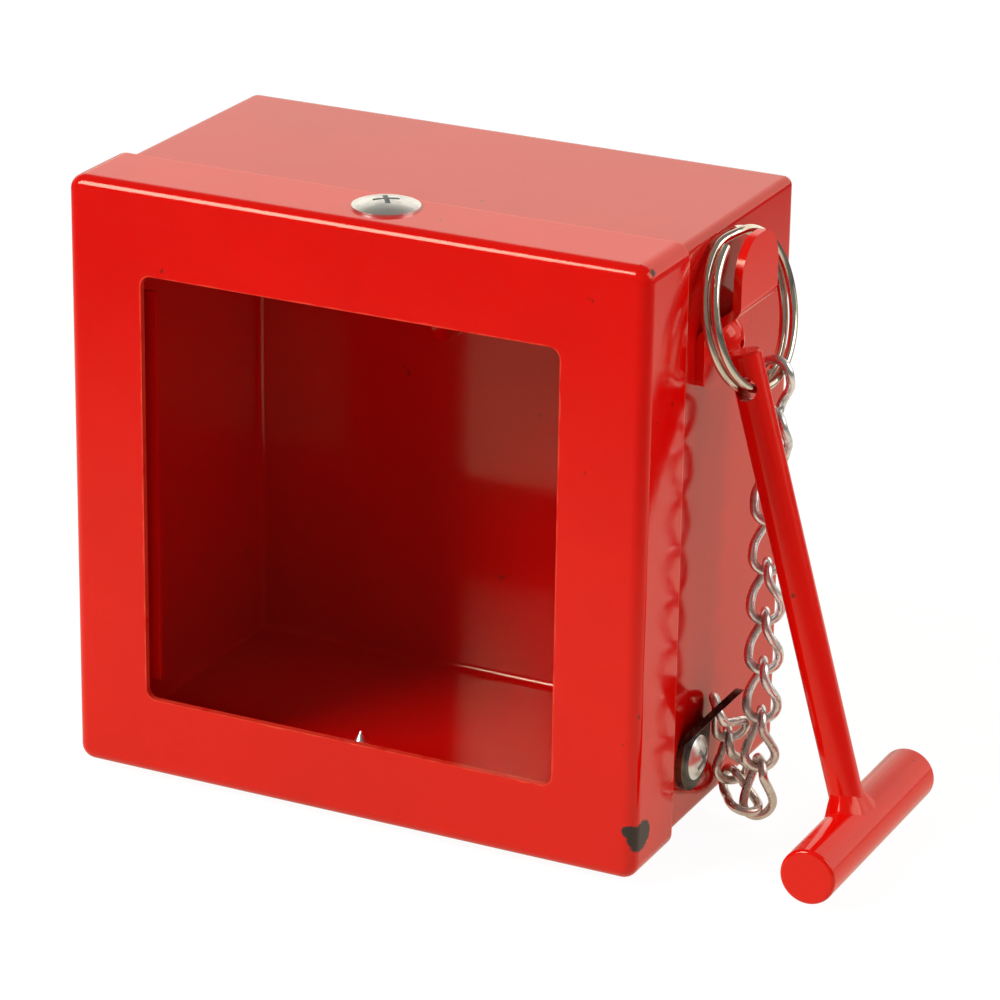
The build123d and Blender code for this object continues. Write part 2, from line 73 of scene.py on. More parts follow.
def add_object(name, data):
    """An object with the given data, at the origin and in the scene."""
    thing = bpy.data.objects.new(name, data)
    bpy.context.scene.collection.objects.link(thing)
    return thing


print("solids loaded:", len(nodes))

# %% [markdown]
# Camera
# The box's corners in the photograph fix where the camera stood: 0.77 m away,
# to the right and above, with a long lens. A long lens keeps the box's edges
# almost parallel. The place is worked out from angles and a distance, because
# those are easy to picture and to change.

# %% Stand the camera
TARGET = Vector((16.63, -40.0, -0.37)) * MM          # what the camera looks at
DISTANCE = 772.84 * MM
AZIMUTH, ELEVATION, ROLL = math.radians(25.75), math.radians(21.23), math.radians(0.911)
FOCAL_LENGTH = 4.43526                               # in picture widths
SENSOR_WIDTH = 36.0                                  # millimetres

look_back = Vector((
    math.sin(AZIMUTH) * math.cos(ELEVATION),
    -math.cos(AZIMUTH) * math.cos(ELEVATION),
    math.sin(ELEVATION),
))
camera_data = bpy.data.cameras.new("camera")
camera_data.sensor_width = SENSOR_WIDTH
camera_data.lens = FOCAL_LENGTH * SENSOR_WIDTH
camera = add_object("camera", camera_data)
turn = (-look_back).to_track_quat("-Z", "Y").to_matrix().to_4x4()
place = Matrix.Translation(TARGET + look_back * DISTANCE)
camera.matrix_world = place @ turn @ Matrix.Rotation(ROLL, 4, "Z")
bpy.context.scene.camera = camera
print("camera stands at", tuple(round(c, 3) for c in camera.matrix_world.translation))

# %% [markdown]
# Shader nets in a few words
# A shader is a net of small nodes, and most nets are built from few moves:
# calculate with values, carry a value over to another range, and mix two
# colours or values by a mask. With a function for each move, a finish further
# down reads from top to bottom.

# %% Tools for shader nets
WHITE = (1, 1, 1)


def add_node(tree, kind, **settings):
    """A shader node. Each setting is the node's own, or an input's value with _ for a blank."""
    node = tree.nodes.new(kind)
    for key, value in settings.items():
        if hasattr(node, key):
            setattr(node, key, value)
        else:
            node.inputs[key.replace("_", " ")].default_value = value
    return node


def feed(tree, socket, value):
    """Links a socket to the value if that is a socket too, or else sets it."""
    if isinstance(value, bpy.types.NodeSocket):
        tree.links.new(value, socket)
    else:
        socket.default_value = value


def feed_all(tree, node, **inputs):
    """Feeds several inputs of a node, with _ for a blank in their names."""
    for key, value in inputs.items():
        feed(tree, node.inputs[key.replace("_", " ")], value)


def calculate(tree, operation, *values):
    """The result of a Math node on numbers or sockets."""
    node = add_node(tree, "ShaderNodeMath", operation=operation)
    for socket, value in zip(node.inputs, values):
        feed(tree, socket, value)
    return node.outputs["Value"]


def calculate_vector(tree, operation, *values):
    """The same for a Vector Math node. A length or a distance comes back as a number."""
    node = add_node(tree, "ShaderNodeVectorMath", operation=operation)
    for socket, value in zip(node.inputs, values):
        feed(tree, socket, value)
    return node.outputs["Value" if operation in ("LENGTH", "DISTANCE") else "Vector"]


def ramp(tree, value, start, end, low=0.0, high=1.0, curve="LINEAR"):
    """Carries start to end over to low to high, and stays at low and high outside them."""
    node = add_node(tree, "ShaderNodeMapRange", interpolation_type=curve)
    feed_all(tree, node, Value=value, From_Min=start, From_Max=end, To_Min=low, To_Max=high)
    return node.outputs["Result"]


def mix_colour(tree, mask, plain, marked):
    """Plain colour where the mask is 0 and marked where it is 1; each is a colour or a socket."""
    mix = add_node(tree, "ShaderNodeMix", data_type="RGBA")
    feed(tree, mix.inputs[0], mask)
    for socket, colour in ((mix.inputs[6], plain), (mix.inputs[7], marked)):
        feed(tree, socket, (*colour, 1) if isinstance(colour, tuple) else colour)
    return mix.outputs[2]


def mix_value(tree, mask, plain, marked):
    """The same for a single number."""
    mix = add_node(tree, "ShaderNodeMix", data_type="FLOAT")
    for socket, value in ((mix.inputs[0], mask), (mix.inputs[2], plain), (mix.inputs[3], marked)):
        feed(tree, socket, value)
    return mix.outputs[0]


def mix_shader(tree, share, plain, marked):
    """The same for whole shaders."""
    mix = add_node(tree, "ShaderNodeMixShader")
    for socket, value in zip(mix.inputs, (share, plain, marked)):
        feed(tree, socket, value)
    return mix.outputs[0]


def join_masks(tree, masks):
    """The larger of several masks at each point."""
    joined = masks[0]
    for mask in masks[1:]:
        joined = calculate(tree, "MAXIMUM", joined, mask)
    return joined


def object_point(tree):
    """The point that is shaded, in its object's coordinates, in metres."""
    return add_node(tree, "ShaderNodeTexCoord").outputs["Object"]


def noise(tree, scale, detail, roughness=0.5):
    """Noise from 0 to 1 over the object, scale in blots per metre."""
    texture = add_node(tree, "ShaderNodeTexNoise", Detail=detail, Roughness=roughness)
    feed_all(tree, texture, Vector=object_point(tree), Scale=scale)
    return texture.outputs["Fac"]


def ramp_along(tree, axis, start, end, most):
    """Mask that grows from 0 to most as one object coordinate goes from start to end, in metres."""
    axes = add_node(tree, "ShaderNodeSeparateXYZ")
    feed(tree, axes.inputs[0], object_point(tree))
    return ramp(tree, axes.outputs[axis], start, end, high=most)


def bump(tree, shader, height, depth):
    """Bumps the shader's surface by a height in millimetres times depth."""
    node = add_node(tree, "ShaderNodeBump", Strength=1.0, Distance=depth * MM)
    feed(tree, node.inputs["Height"], height)
    feed(tree, shader.inputs["Normal"], node.outputs["Normal"])


print("shader tools ready")

# %% [markdown]
# Floor and light
# A product photograph is lit by big soft lamps round a white sweep. The floor
# here is one pale sheet. To the camera it is almost its own white with the
# box's shadow left in it. Gloss sees it brightest in a warm pool, whose middle
# lies a little behind the box, and dim further out, as a table is outside the
# lamps' reach. That keeps the front of the box a deep red.

# %% Floor
FLOOR_GAP = 0.2 * MM                 # under the lowest piece
FLOOR_HALF = 6.0                     # half the sheet's side, in metres
POOL_MIDDLE = (-0.06, 0.07, 0)       # middle of the bright pool, in metres
POOL_NEAR, POOL_FAR = 0.20, 0.44     # the pool fades out between these distances, in metres
POOL_BRIGHT, POOL_DIM = 0.80, 0.04
POOL_TINT = (1.0, 0.90, 0.72)
SEEN_WHITE = 1.10                    # the floor's own glow, as the camera sees it
GLOW_SHARE = 0.86                    # the rest is a lit surface, which takes the shadow
FLOOR_GREY = (0.86, 0.86, 0.86, 1)

bpy.context.scene.view_settings.view_transform = "Standard"
floor_height = solid_bounds[0][2] - FLOOR_GAP
corners = [
    (x * FLOOR_HALF, y * FLOOR_HALF, floor_height)
    for x, y in ((-1, -1), (1, -1), (1, 1), (-1, 1))
]
floor_mesh = bpy.data.meshes.new("floor")
floor_mesh.from_pydata(corners, [], [(0, 1, 2, 3)])
floor = add_object("floor", floor_mesh)

floor_paint = bpy.data.materials.new("floor_paint")
floor_paint.use_nodes = True
tree = floor_paint.node_tree
tree.nodes.clear()
ray = add_node(tree, "ShaderNodeLightPath").outputs
from_middle = calculate_vector(tree, "DISTANCE", object_point(tree), POOL_MIDDLE)
pool = ramp(tree, from_middle, POOL_NEAR, POOL_FAR, POOL_BRIGHT, POOL_DIM, "SMOOTHSTEP")
glow = add_node(tree, "ShaderNodeEmission")
feed_all(
    tree, glow,
    Strength=mix_value(tree, ray["Is Camera Ray"], pool, SEEN_WHITE),
    Color=mix_colour(tree, ray["Is Camera Ray"], POOL_TINT, WHITE),
)
lit = add_node(tree, "ShaderNodeBsdfDiffuse", Color=FLOOR_GREY)
seen = calculate(tree, "MAXIMUM", ray["Is Camera Ray"], ray["Is Glossy Ray"])
share = calculate(tree, "MULTIPLY", seen, GLOW_SHARE)
blend = mix_shader(tree, share, lit.outputs[0], glow.outputs[0])
feed(tree, add_node(tree, "ShaderNodeOutputMaterial").inputs["Surface"], blend)
floor.data.materials.append(floor_paint)
print("floor at", round(floor_height / MM, 1), "mm")

# %% Lamps and sky
ROOM_GLOW = 0.20                     # light of the dim room, from every side
SWEEP_GLOW = 1.05                    # more light from the lit sweep behind the box, low down
SWEEP_BEHIND = ("Y", 0.10, 0.65)     # fades in as a direction's Y part grows between these
SWEEP_LOW = ("Z", 0.70, 0.45)        # and as its Z part falls between these
SKY_TINT = (1.0, 0.92, 0.81)
SEEN_SKY = 1.0                       # the sky's strength, as the camera sees it

world = bpy.data.worlds.new("studio")
bpy.context.scene.world = world
world.use_nodes = True
tree = world.node_tree
tree.nodes.clear()
camera_ray = add_node(tree, "ShaderNodeLightPath").outputs["Is Camera Ray"]
parts = add_node(tree, "ShaderNodeSeparateXYZ")
feed(tree, parts.inputs[0], add_node(tree, "ShaderNodeTexCoord").outputs["Generated"])
behind, low = (
    ramp(tree, parts.outputs[axis], start, end, curve="SMOOTHSTEP")
    for axis, start, end in (SWEEP_BEHIND, SWEEP_LOW)
)
sweep = calculate(tree, "MULTIPLY", behind, low)
room = calculate(tree, "MULTIPLY_ADD", sweep, SWEEP_GLOW, ROOM_GLOW)
sky = add_node(tree, "ShaderNodeBackground")
feed_all(
    tree, sky,
    Strength=mix_value(tree, camera_ray, room, SEEN_SKY),
    Color=mix_colour(tree, camera_ray, SKY_TINT, WHITE),
)
feed(tree, add_node(tree, "ShaderNodeOutputWorld").inputs["Surface"], sky.outputs[0])


def softbox(name, spot, aim, side, power):
    """A square lamp that stands at spot and faces aim, in metres, with its power in watts."""
    lamp_data = bpy.data.lights.new(name, "AREA")
    lamp_data.shape = "RECTANGLE"
    lamp_data.size = lamp_data.size_y = side
    lamp_data.energy = power
    lamp = add_object(name, lamp_data)
    facing = (Vector(aim) - Vector(spot)).to_track_quat("-Z", "Y").to_matrix().to_4x4()
    lamp.matrix_world = Matrix.Translation(spot) @ facing
    return lamp


lamps = [
    softbox("lamp_front_left", spot=(-0.80, -1.06, 0.90), aim=(0, -0.03, 0), side=0.66, power=18.5),
    softbox("lamp_right", spot=(1.15, 0.25, 0.75), aim=(0.03, -0.03, 0), side=0.8, power=6.0),
]
print("lamps:", len(lamps))

# %% [markdown]
# Shared effects
# Three small effects turn up in more than one finish: the ripple of baked
# powder, a ragged patch where something has come off, and dirt or tarnish that
# gathers in blots. Each is a node group, made once. A group gives back only a
# mask or a height, and every material keeps its own shader.

# %% Node groups
def new_group(name, inputs, output):
    """An empty group with float or vector inputs and one float output, and its two end nodes."""
    kinds = {"f": "NodeSocketFloat", "v": "NodeSocketVector"}
    group = bpy.data.node_groups.new(name, "ShaderNodeTree")
    for label, kind in inputs:
        group.interface.new_socket(name=label, in_out="INPUT", socket_type=kinds[kind])
    group.interface.new_socket(name=output, in_out="OUTPUT", socket_type=kinds["f"])
    inside, end = add_node(group, "NodeGroupInput"), add_node(group, "NodeGroupOutput")
    return group, inside.outputs, end.inputs[output]


def powder_ripple_group():
    """Height of baked powder: a fine orange peel plus slow waves in the sheet, in millimetres."""
    group, given, end = new_group("powder_ripple", [("Peel", "f"), ("Waves", "f")], "Height")
    peel = calculate(group, "MULTIPLY", noise(group, 620.0, 1.0), given["Peel"])
    height = calculate(group, "MULTIPLY_ADD", noise(group, 42.0, 1.0), given["Waves"], peel)
    feed(group, end, height)
    return group


def ragged_patch_group():
    """Mask that is 1 within Radius of Centre, with an edge torn by noise."""
    inputs = [("Centre", "v"), ("Stretch", "v"), ("Radius", "f"), ("Tear", "f")]
    group, given, end = new_group("ragged_patch", inputs, "Mask")
    away = calculate_vector(group, "SUBTRACT", object_point(group), given["Centre"])
    shaped = calculate_vector(group, "MULTIPLY", away, given["Stretch"])
    far = calculate_vector(group, "LENGTH", shaped)
    torn = calculate(group, "MULTIPLY_ADD", noise(group, 900.0, 3.0, 0.6), given["Tear"], far)
    inwards = calculate(group, "SUBTRACT", given["Radius"], torn)
    feed(group, end, ramp(group, inwards, -0.12 * MM, 0.12 * MM))
    return group


def blots_group():
    """Soft blots, from 0 to 1: noise of the given size, kept above a level."""
    inputs = [("Scale", "f"), ("Level", "f"), ("Softness", "f")]
    group, given, end = new_group("blots", inputs, "Mask")
    top = calculate(group, "ADD", given["Level"], given["Softness"])
    cloud = noise(group, given["Scale"], 5.0, 0.62)
    feed(group, end, ramp(group, cloud, given["Level"], top, curve="SMOOTHSTEP"))
    return group


powder_ripple = powder_ripple_group()
ragged_patch = ragged_patch_group()
blots = blots_group()
print("groups:", [g.name for g in bpy.data.node_groups])

# %% Helpers for materials
def new_material(name):
    """A material with its Principled shader, and its node tree."""
    material = bpy.data.materials.new(name)
    material.use_nodes = True
    return material, material.node_tree, material.node_tree.nodes["Principled BSDF"]


def use_group(tree, group, **values):
    """What a group gives back in a material, with the material's own values."""
    node = add_node(tree, "ShaderNodeGroup")
    node.node_tree = group
    for key, value in values.items():
        node.inputs[key].default_value = value
    return node.outputs[0]


def dress(material, *names):
    """Gives CAD nodes their finished material."""
    for name in names:
        slots = nodes[name].data.materials
        slots.clear()
        slots.append(material)
    print(material.name, "->", len(names), "pieces")

# %% [markdown]
# Red powder coat
# The box, its cover, the hook, the hanger and the hammer are sheet and bar, dipped in one glossy
# red. Powder flows as it bakes and leaves a slight orange peel, so straight reflections waver. A
# few dark specks are baked in. Paint draws back from a cut edge as it melts, so the rims of the
# window and of the cover's flange are paler. That pale line is also a painted highlight, where
# those edges catch the light. A knock has taken a flake off the cover's lower right corner, down to
# grey metal, and a smaller one sits on the upper corner.
# The body's red is a shade darker than the cover's: painted shade, which keeps the body's sides
# darker than the cover's flange. The bars were coated apart, in a red a shade brighter.

# %% Powder coat
RED = (0.830, 0.0020, 0.0010)
RED_DEEP = (0.760, 0.0012, 0.0008)
BODY_RED = (0.720, 0.0020, 0.0010)       # a shade darker: painted shade that keeps the body's sides darker than the cover's flange
BODY_DEEP = (0.655, 0.0015, 0.0008)
BAR_RED = (0.910, 0.0035, 0.0012)        # the bars carry a thicker, brighter coat
BAR_DEEP = (0.840, 0.0028, 0.0010)
THIN_EDGE_HIGHLIGHT_RED = (0.900, 0.050, 0.025)         # thin pale paint on a cut edge, with a painted highlight on it
SPECK_RED = (0.300, 0.010, 0.006)
CHIP_GREY = (0.030, 0.022, 0.024)
CHIP_ROUGHNESS = 0.42
GLOSS_TINT = (1.0, 0.86, 0.64, 1)
COAT_IOR = 1.5

# millimetres, as the solid cover has them
WINDOW_MIDDLE = (-0.65, 0.0, -0.60)
WINDOW_HALF = (39.85, 1000.0, 39.60)
WINDOW_CORNER = 2.0
RIM_WIDTH = 0.27                         # of the pale line round the window
RIM_FAR, RIM_NEAR = 0.45, 0.25           # the pale line comes in between these distances
RIM_NOISE = 0.9                          # how far noise moves the line at most
SEAM_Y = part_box("front_cover")[1][1]     # where the cover's flange ends on the body, in metres


def frame_edge(tree, middle, half, corner):
    """Mask of a narrow frame round an upright cut-out with round corners: 1 where the distance to
    the cut is less than the rim's width. The distance is the length of |p| - half + corner, each
    part at least 0, less the corner's radius. Noise breaks the line up."""
    distance = object_point(tree)
    for operation, other in (
        ("SUBTRACT", middle),
        ("ABSOLUTE", (0, 0, 0)),
        ("SUBTRACT", [h - corner for h in half]),
        ("MAXIMUM", (0, 0, 0)),
        ("LENGTH", (0, 0, 0)),
    ):
        distance = calculate_vector(tree, operation, distance, tuple(c * MM for c in other))
    uneven = calculate(tree, "MULTIPLY_ADD", noise(tree, 260.0, 3.0), RIM_NOISE * MM, distance)
    edge = corner + RIM_WIDTH
    return ramp(tree, uneven, (edge + RIM_FAR) * MM, (edge + RIM_NEAR) * MM)


def red_coat(name, red, deep, chips=(), window=None, peel=0.5, waves=5.0, shine=0.09):
    """Powder coat with slow changes of tone from red to deep and an orange peel. Each chip is a
    centre in millimetres, a stretch and a radius in millimetres. A window and the seam behind it
    get pale rims: thin paint with a painted highlight."""
    material, tree, shader = new_material(name)
    tone = use_group(tree, blots, Scale=26.0, Level=0.30, Softness=0.45)
    specks = use_group(tree, blots, Scale=260.0, Level=0.70, Softness=0.02)
    colour = mix_colour(tree, tone, red, deep)
    colour = mix_colour(tree, specks, colour, SPECK_RED)
    # pale rims round the window and along the seam: thin paint with a painted highlight
    if window:
        seam = ramp_along(tree, "Y", SEAM_Y - RIM_FAR * MM, SEAM_Y - RIM_NEAR * MM, 0.8)
        rims = join_masks(tree, [frame_edge(tree, *window), seam])
        colour = mix_colour(tree, rims, colour, THIN_EDGE_HIGHLIGHT_RED)
    fine = use_group(tree, blots, Scale=340.0, Level=0.25, Softness=0.50)
    roughness = mix_value(tree, fine, shine - 0.02, shine + 0.05)
    if chips:
        masks = []
        for centre, stretch, radius in chips:
            spot = tuple(c * MM for c in centre)
            masks.append(use_group(
                tree, ragged_patch, Centre=spot, Stretch=stretch, Radius=radius * MM, Tear=0.0009,
            ))
        chip = join_masks(tree, masks)
        colour = mix_colour(tree, chip, colour, CHIP_GREY)
        roughness = mix_value(tree, chip, roughness, CHIP_ROUGHNESS)
    feed_all(
        tree, shader,
        Base_Color=colour, Roughness=roughness, IOR=COAT_IOR, Specular_Tint=GLOSS_TINT,
    )
    bump(tree, shader, use_group(tree, powder_ripple, Peel=peel, Waves=waves), 0.012)
    return material


body_red = red_coat("red_body", BODY_RED, BODY_DEEP)
cover_red = red_coat(
    "red_cover", RED, RED_DEEP, window=(WINDOW_MIDDLE, WINDOW_HALF, WINDOW_CORNER),
    chips=[
        ((55.0, -62.0, -47.2), (0.8, 0.62, 0.80), 2.6),
        ((54.0, -64.8, -45.6), (0.8, 0.60, 1.00), 1.6),
        ((54.6, -62.6, 54.0), (1.0, 0.7, 1.0), 1.0),
        ((-41.0, -64.0, 37.8), (1.0, 0.5, 0.6), 0.7),
    ],
)
bar_red = red_coat("red_bar", BAR_RED, BAR_DEEP, peel=0.9, waves=2.0, shine=0.12)
dress(body_red, "back_box", "key_hook", "glass_guide_left", "glass_guide_right")
dress(cover_red, "front_cover")
dress(bar_red, "ring_hanger", "hanger_rivet", "hammer_handle", "hammer_head")

# %% [markdown]
# Bright zinc screws
# The screws are steel with a thin bright zinc plate, which is slightly mottled
# and carries fine turning marks. Dirt and red powder collect in the driver's
# recess, so a dark patch sits on each screw's axis.

# %% Zinc on the screws
ZINC_BRIGHT = (0.84, 0.87, 0.86)
ZINC_DULL = (0.70, 0.72, 0.72)
RECESS_GRIME = (0.22, 0.16, 0.13)
HEAD_FACES = (                           # each screw, and the axis and side of its head's top
    ("cover_screw_top", 2, 1),
    ("cover_screw_bottom", 2, -1),
    ("lug_screw", 0, 1),
)


def screw_zinc(name, head_top):
    """Bright zinc with a grimy recess round the middle of the head's top."""
    material, tree, shader = new_material(name)
    mottle = use_group(tree, blots, Scale=420.0, Level=0.42, Softness=0.30)
    grime = use_group(
        tree, ragged_patch, Centre=tuple(head_top), Stretch=(1, 1, 1), Radius=0.0007, Tear=0.0011,
    )
    colour = mix_colour(tree, mottle, ZINC_BRIGHT, ZINC_DULL)
    roughness = mix_value(tree, mottle, 0.28, 0.40)
    feed_all(
        tree, shader,
        Base_Color=mix_colour(tree, grime, colour, RECESS_GRIME),
        Roughness=mix_value(tree, grime, roughness, 0.60),
        Metallic=1.0,
    )
    bump(tree, shader, noise(tree, 1500.0, 2.0), 0.010)
    return material


def middle_of(name, face_axis, side):
    """The middle of a node's box, moved out to the face at one side of one axis."""
    low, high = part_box(name)
    point = (low + high) / 2
    point[face_axis] = high[face_axis] if side > 0 else low[face_axis]
    return point


for name, face_axis, side in HEAD_FACES:
    dress(screw_zinc(name + "_zinc", middle_of(name, face_axis, side)), name)

# %% [markdown]
# Dull zinc chain
# The chain's wire is plated in bulk, so it is greyer and softer than the screws, with dark blots
# where links have rubbed. The links turn browner with depth below the ring, the lowest ones most.

# %% Zinc on the chain
CHAIN_BRIGHT = (0.94, 0.95, 0.96)
CHAIN_RUBBED = (0.50, 0.50, 0.50)
CHAIN_LOW_BROWN = (0.56, 0.42, 0.33)
BROWNING_FROM, BROWNING_TO = -0.028, -0.056     # heights between which the links turn browner, in metres

chain, tree, shader = new_material("zinc_chain")
mottle = use_group(tree, blots, Scale=300.0, Level=0.40, Softness=0.32)
lower_browning = ramp_along(tree, "Z", BROWNING_FROM, BROWNING_TO, 0.75)
colour = mix_colour(tree, mottle, CHAIN_BRIGHT, CHAIN_RUBBED)
feed_all(
    tree, shader,
    Base_Color=mix_colour(tree, lower_browning, colour, CHAIN_LOW_BROWN),
    Roughness=mix_value(tree, mottle, 0.24, 0.44),
    Metallic=0.94,
)
bump(tree, shader, noise(tree, 1400.0, 3.0), 0.014)
print("chain finish:", chain.name)

# %% [markdown]
# Nickel ring
# The split ring is spring wire, drawn smooth and nickel plated: a warm mirror.
# Only its reflections show its shape, so the plate keeps a low roughness and a
# trace of drawing marks.

# %% Nickel on the ring
NICKEL_BRIGHT = (0.80, 0.755, 0.66)
NICKEL_HAZE = (0.62, 0.55, 0.44)

nickel, tree, shader = new_material("nickel_ring")
haze = use_group(tree, blots, Scale=220.0, Level=0.45, Softness=0.30)
feed_all(
    tree, shader,
    Base_Color=mix_colour(tree, haze, NICKEL_BRIGHT, NICKEL_HAZE),
    Roughness=mix_value(tree, haze, 0.09, 0.20),
    Metallic=1.0,
)
bump(tree, shader, noise(tree, 900.0, 1.0), 0.004)
dress(nickel, "split_ring")

# %% [markdown]
# Blackened lug
# The lug is stamped steel with a black oxide skin, worn brown in blots. The edge that faces the
# front of the box carries a painted bronze highlight, where that edge catches the light, and it
# fades out over the edge's last millimetre.

# %% Black oxide
OXIDE_BLACK = (0.022, 0.017, 0.014)
OXIDE_BROWN = (0.10, 0.062, 0.035)
EDGE_HIGHLIGHT_BRONZE = (0.20, 0.115, 0.055)
EDGE_HIGHLIGHT_WIDTH = 1.0 * MM

lug, tree, shader = new_material("black_oxide")
worn = use_group(tree, blots, Scale=380.0, Level=0.47, Softness=0.18)
front_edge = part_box("chain_lug")[0][1]
# painted highlight: bronze on the lug's front edge, fading over its last millimetre
bronze_highlight = ramp_along(tree, "Y", front_edge + EDGE_HIGHLIGHT_WIDTH, front_edge, 0.9)
colour = mix_colour(tree, worn, OXIDE_BLACK, OXIDE_BROWN)
feed_all(
    tree, shader,
    Base_Color=mix_colour(tree, bronze_highlight, colour, EDGE_HIGHLIGHT_BRONZE),
    Roughness=mix_value(tree, worn, 0.26, 0.42),
    Metallic=0.6,
)
bump(tree, shader, noise(tree, 700.0, 3.0), 0.02)
dress(lug, "chain_lug")

# %% [markdown]
# Glass
# The pane is thin float glass. Light has to reach the inside of the box
# through it. A renderer that bends every ray would leave the box dark, so
# shadow and diffuse rays pass straight through, and the camera and gloss see
# real glass. Its low index of refraction keeps its own reflections faint.

# %% Pane
GLASS_TINT = (0.985, 1.0, 0.99, 1)
GLASS_IOR = 1.07

glass, tree, shader = new_material("pane_glass")
feed_all(
    tree, shader,
    Base_Color=GLASS_TINT, Roughness=0.0, IOR=GLASS_IOR, Transmission_Weight=1.0,
)
ray = add_node(tree, "ShaderNodeLightPath").outputs
passing = calculate(tree, "MAXIMUM", ray["Is Shadow Ray"], ray["Is Diffuse Ray"])
clear = add_node(tree, "ShaderNodeBsdfTransparent")
blend = mix_shader(tree, passing, shader.outputs[0], clear.outputs[0])
feed(tree, tree.nodes["Material Output"].inputs["Surface"], blend)
dress(glass, "glass_pane")

# %% [markdown]
# Twisted links
# A chain link starts as a flat oval of wire. A machine then holds both of its
# ends and turns one of them a quarter, so that every link lies in line with
# the next. The solid model draws the turn with two arcs, which is enough for
# physics but kinks the sides. Here the flat oval is turned as a screw is, more
# at the middle than at the ends, and the wire is carried along that line. The
# lowest links lie close together, so their sides are drawn in a little.

# %% A wire carried round a closed line
def place_on_grid(name, points, material, body):
    """A closed grid mesh from an array of points (rows, columns, 3) that wraps both ways."""
    rows, columns = points.shape[:2]
    index = np.arange(rows * columns).reshape(rows, columns)
    right = np.roll(index, -1, axis=1)
    up = np.roll(index, -1, axis=0)
    faces = np.stack([index, right, np.roll(right, -1, axis=0), up], axis=-1).reshape(-1, 4)
    mesh = bpy.data.meshes.new(name)
    mesh.from_pydata(points.reshape(-1, 3).tolist(), [], faces.tolist())
    mesh.shade_smooth()
    mesh.materials.append(material)
    thing = add_object(name, mesh)
    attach(thing, body)
    return thing


def tube_round(line, radius, steps_round=14):
    """Surface of a wire: at each point of a closed line, a circle square to the line's direction.
    Its zero angle points away from the line's middle, so the last circle meets the first."""
    ahead = np.roll(line, -1, axis=0) - np.roll(line, 1, axis=0)
    ahead /= np.linalg.norm(ahead, axis=1, keepdims=True)
    away = line - line.mean(axis=0)
    away -= ahead * (away * ahead).sum(axis=1, keepdims=True)
    away /= np.linalg.norm(away, axis=1, keepdims=True)
    beside = np.cross(ahead, away)
    v = np.linspace(0, 2 * math.pi, steps_round, endpoint=False)[None, :, None]
    circle = away[:, None] * np.cos(v) + beside[:, None] * np.sin(v)
    return line[:, None] + circle * radius[:, None, None]


print("wire tools ready")

# %% Shape of one link
LINK_WIRE = 1.6           # millimetres, like all of this cell
LINK_PITCH = 9.17
LINK_PLAY = 0.15
BOW_RADIUS = 2.7
LINK_REACH = LINK_PITCH + LINK_WIRE + LINK_PLAY
HALF_STRAIGHT = LINK_REACH / 2 - BOW_RADIUS
LINE_STEPS = 132          # points round a link
BUTT_AT = 0.085           # where the bent wire's ends meet, as a share of the way round
BUTT_WIDTH = 0.006        # of the groove there, as such a share
BUTT_DEPTH = 0.16         # of the groove, as a share of the wire's radius


def link_line(waist, twist_reach):
    """Middle of a link's wire. By length s round the flat oval: two straights and two half
    circles. At height z the oval is turned by 45 degrees times 1 - sin(a), with a = 90 degrees
    times z / twist_reach, and drawn in by waist times the square of cos(a)."""
    bow = math.pi * BOW_RADIUS
    side = 2 * HALF_STRAIGHT
    s = np.linspace(0, 2 * (side + bow), LINE_STEPS, endpoint=False)
    first = s < side + bow
    t = np.where(first, s, s - side - bow)
    turn = np.clip((t - side) / BOW_RADIUS, 0, math.pi)
    reach = BOW_RADIUS * np.cos(turn)
    height = np.minimum(t, side) - HALF_STRAIGHT + BOW_RADIUS * np.sin(turn)
    sign = np.where(first, 1, -1)
    reach, z = sign * reach, sign * height
    a = np.clip(z / twist_reach, -1, 1) * math.pi / 2
    angle = math.pi / 4 * (1 - np.sin(a))
    reach = reach * (1 - waist * np.cos(a) ** 2)
    return np.stack([reach * np.cos(angle), reach * np.sin(angle), z], axis=-1)


def wire_radius():
    """The wire's radius round the link: even, but for a fine groove where its ends meet."""
    share = np.linspace(0, 1, LINE_STEPS, endpoint=False)
    groove = np.exp(-((share - BUTT_AT) / BUTT_WIDTH) ** 2)
    return LINK_WIRE / 2 * (1 - BUTT_DEPTH * groove)


print("link length outside:", round(LINK_REACH + LINK_WIRE, 2), "mm")

# %% Places of the links
RING_SEAT = np.array([62.5975, -28.3988, 27.0811])     # where the chain hangs from the ring, mm
LOWEST = np.array([63.5, -30.8, -54.8])                # what the hanging links point at, mm
BEARING = -64.3           # way the first link's upper bow spreads, in degrees from +X about +Z
YAWS = (60.0, 34.0, 10.0, 0, 0, 0, 0, 0, 11.7)         # what each hanging link adds to it
SIDE_WALL_X, FRONT_Y, LUG_FOOT_Z = 53.7, -65.0, -41.5
# The links from the lug to the lowest hanging link: how far the upper wire lies off the wall,
# behind the front and above the lug's foot; the way the link runs, as a bearing and a rise;
# and its upper bow's bearing.
SIDE_LINKS = (
    ((2.82, 29.59, 9.15), (76.75, -52.0), 298.0),
    ((3.39, 34.63, 2.05), (82.8, -77.1), 117.6),
    ((1.47, 38.30, -8.26), (-40.3, -16.0), 141.9),
)
# Each link's waist and the height over which it twists, from link 1 to link 12.
FREE, CLOSE, CLOSER, LAST = (0.0, 4.11), (0.20, 3.6), (0.29, 2.9), (0.27, 3.0)
WAISTS = [FREE] * 7 + [CLOSE] * 2 + [CLOSER] * 2 + [LAST]


def place_link(line, top, way, bearing):
    """Moves a link's line to hang from top along way, with its upper bow spread to the bearing."""
    spread = np.array([math.cos(math.radians(bearing)), math.sin(math.radians(bearing)), 0.0])
    spread -= way * (spread @ way)
    spread /= np.linalg.norm(spread)
    beside = np.cross(-way, spread)
    return top + way * (LINK_REACH / 2) + line @ np.stack([spread, beside, -way])


